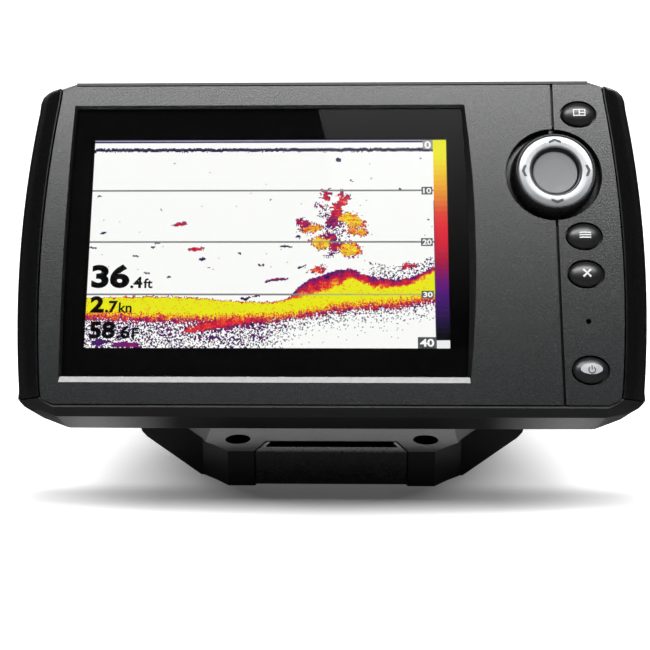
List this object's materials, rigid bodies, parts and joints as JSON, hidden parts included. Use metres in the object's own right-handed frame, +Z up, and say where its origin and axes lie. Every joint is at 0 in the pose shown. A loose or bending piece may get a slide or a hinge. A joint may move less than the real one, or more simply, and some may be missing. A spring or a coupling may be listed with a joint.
{
  "type": "fish finder",
  "caption": "Sonar display head with a lit screen, four-way pad and side keys, tilting between two clamp knobs on a U-shaped bracket with a screw-down foot.",
  "frame": {"origin": "centre of the bracket foot's flat underside", "axes": "+Z up, +X to the right of somebody facing the screen, -Y towards that person; the screen leans back 27.25 degrees at rest"},
  "size_m": [0.214, 0.0994, 0.1445],
  "materials": {
    "charcoal_textured": "fine leather-grain moulded texture",
    "black_satin": "satin",
    "black_moulded": "fine spark-eroded texture",
    "black_gloss": "gloss",
    "clear_window": "polished",
    "black_print": "printed",
    "display_lit": "lit display",
    "key_plastic": "satin",
    "silver_paint": "silver paint",
    "seal_rubber": "matte",
    "steel": "zinc plated",
    "brass": "turned",
    "aluminium": "satin",
    "board_green": "solder mask",
    "component_black": "moulded",
    "white_plastic": "satin",
    "flex_amber": "film",
    "silicone_grey": "silicone"
  },
  "bodies": {
    "bracket": {"mount_bracket": "black_moulded", "base_insert": "black_moulded", "arm_washer_left": "seal_rubber", "arm_washer_right": "seal_rubber"},
    "head": {"face_plate": "charcoal_textured", "keypad_panel": "charcoal_textured", "front_housing": "black_moulded", "side_trim_left": "black_satin", "side_trim_right": "black_satin", "lens": "clear_window", "lens_mask": "black_print", "lens_gasket": "seal_rubber", "lcd_panel": "display_lit", "lcd_backlight": "white_plastic", "lcd_frame": "aluminium", "keypad_membrane": "silicone_grey", "keypad_board": "board_green", "light_sensor": "component_black", "rear_housing": "black_moulded", "housing_seal": "seal_rubber", "vent_plug": "component_black", "card_door_pin": "steel", "card_socket": "steel", "pivot_insert_left": "brass", "pivot_insert_right": "brass", "main_board": "board_green", "processor": "component_black", "heat_spreader": "aluminium", "sonar_transformer": "component_black", "sounder": "component_black", "supply_capacitor": "aluminium", "display_flex": "flex_amber", "power_socket": "component_black", "sonar_socket": "component_black", "accessory_socket": "component_black", "housing_screw_1": "steel", "housing_screw_2": "steel", "housing_screw_3": "steel", "housing_screw_4": "steel", "housing_screw_5": "steel", "housing_screw_6": "steel", "board_screw_1": "steel", "board_screw_2": "steel", "board_screw_3": "steel", "board_screw_4": "steel"},
    "view_key": {"view_button": "key_plastic"},
    "menu_key": {"menu_button": "key_plastic"},
    "exit_key": {"exit_button": "key_plastic"},
    "power_key": {"power_button": "key_plastic"},
    "nav_gimbal": {"nav_pivot": "seal_rubber"},
    "nav_pad": {"nav_rocker": "black_gloss", "nav_ring": "silver_paint"},
    "clamp_left": {"knob_left": "black_moulded", "knob_stud_left": "steel"},
    "clamp_right": {"knob_right": "black_moulded", "knob_stud_right": "steel"},
    "door": {"card_door": "seal_rubber"}
  },
  "joints": [
    {"name": "head_tilt", "type": "hinge", "parent": "bracket", "child": "head", "pos_m": [0, -0.00827, 0.07203], "axis": [-1, 0, 0], "range_deg": [-27, 45]},
    {"name": "view_press", "type": "slide", "parent": "head", "child": "view_key", "axis": [0, 0.889, -0.4579], "range_m": [0, 0.001], "stiffness_N_per_m": 400},
    {"name": "menu_press", "type": "slide", "parent": "head", "child": "menu_key", "axis": [0, 0.889, -0.4579], "range_m": [0, 0.001], "stiffness_N_per_m": 400},
    {"name": "exit_press", "type": "slide", "parent": "head", "child": "exit_key", "axis": [0, 0.889, -0.4579], "range_m": [0, 0.001], "stiffness_N_per_m": 400},
    {"name": "power_press", "type": "slide", "parent": "head", "child": "power_key", "axis": [0, 0.889, -0.4579], "range_m": [0, 0.001], "stiffness_N_per_m": 400},
    {"name": "nav_rock_vertical", "type": "hinge", "parent": "head", "child": "nav_gimbal", "pos_m": [0.0757, -0.02949, 0.11339], "axis": [1, 0, 0], "range_deg": [-3, 3], "stiffness_Nm_per_rad": 0.4},
    {"name": "nav_rock_sideways", "type": "hinge", "parent": "nav_gimbal", "child": "nav_pad", "pos_m": [0.0757, -0.02949, 0.11339], "axis": [0, 0.4579, 0.889], "range_deg": [-3, 3], "stiffness_Nm_per_rad": 0.4},
    {"name": "clamp_left_turn", "type": "hinge", "parent": "head", "child": "clamp_left", "pos_m": [-0.0784, -0.00827, 0.07203], "axis": [-1, 0, 0], "continuous": true},
    {"name": "clamp_right_turn", "type": "hinge", "parent": "head", "child": "clamp_right", "pos_m": [0.0784, -0.00827, 0.07203], "axis": [1, 0, 0], "continuous": true},
    {"name": "card_door_open", "type": "hinge", "parent": "head", "child": "door", "pos_m": [0.024, 0.01623, 0.07471], "axis": [-1, 0, 0], "range_deg": [0, 90]}
  ]
}
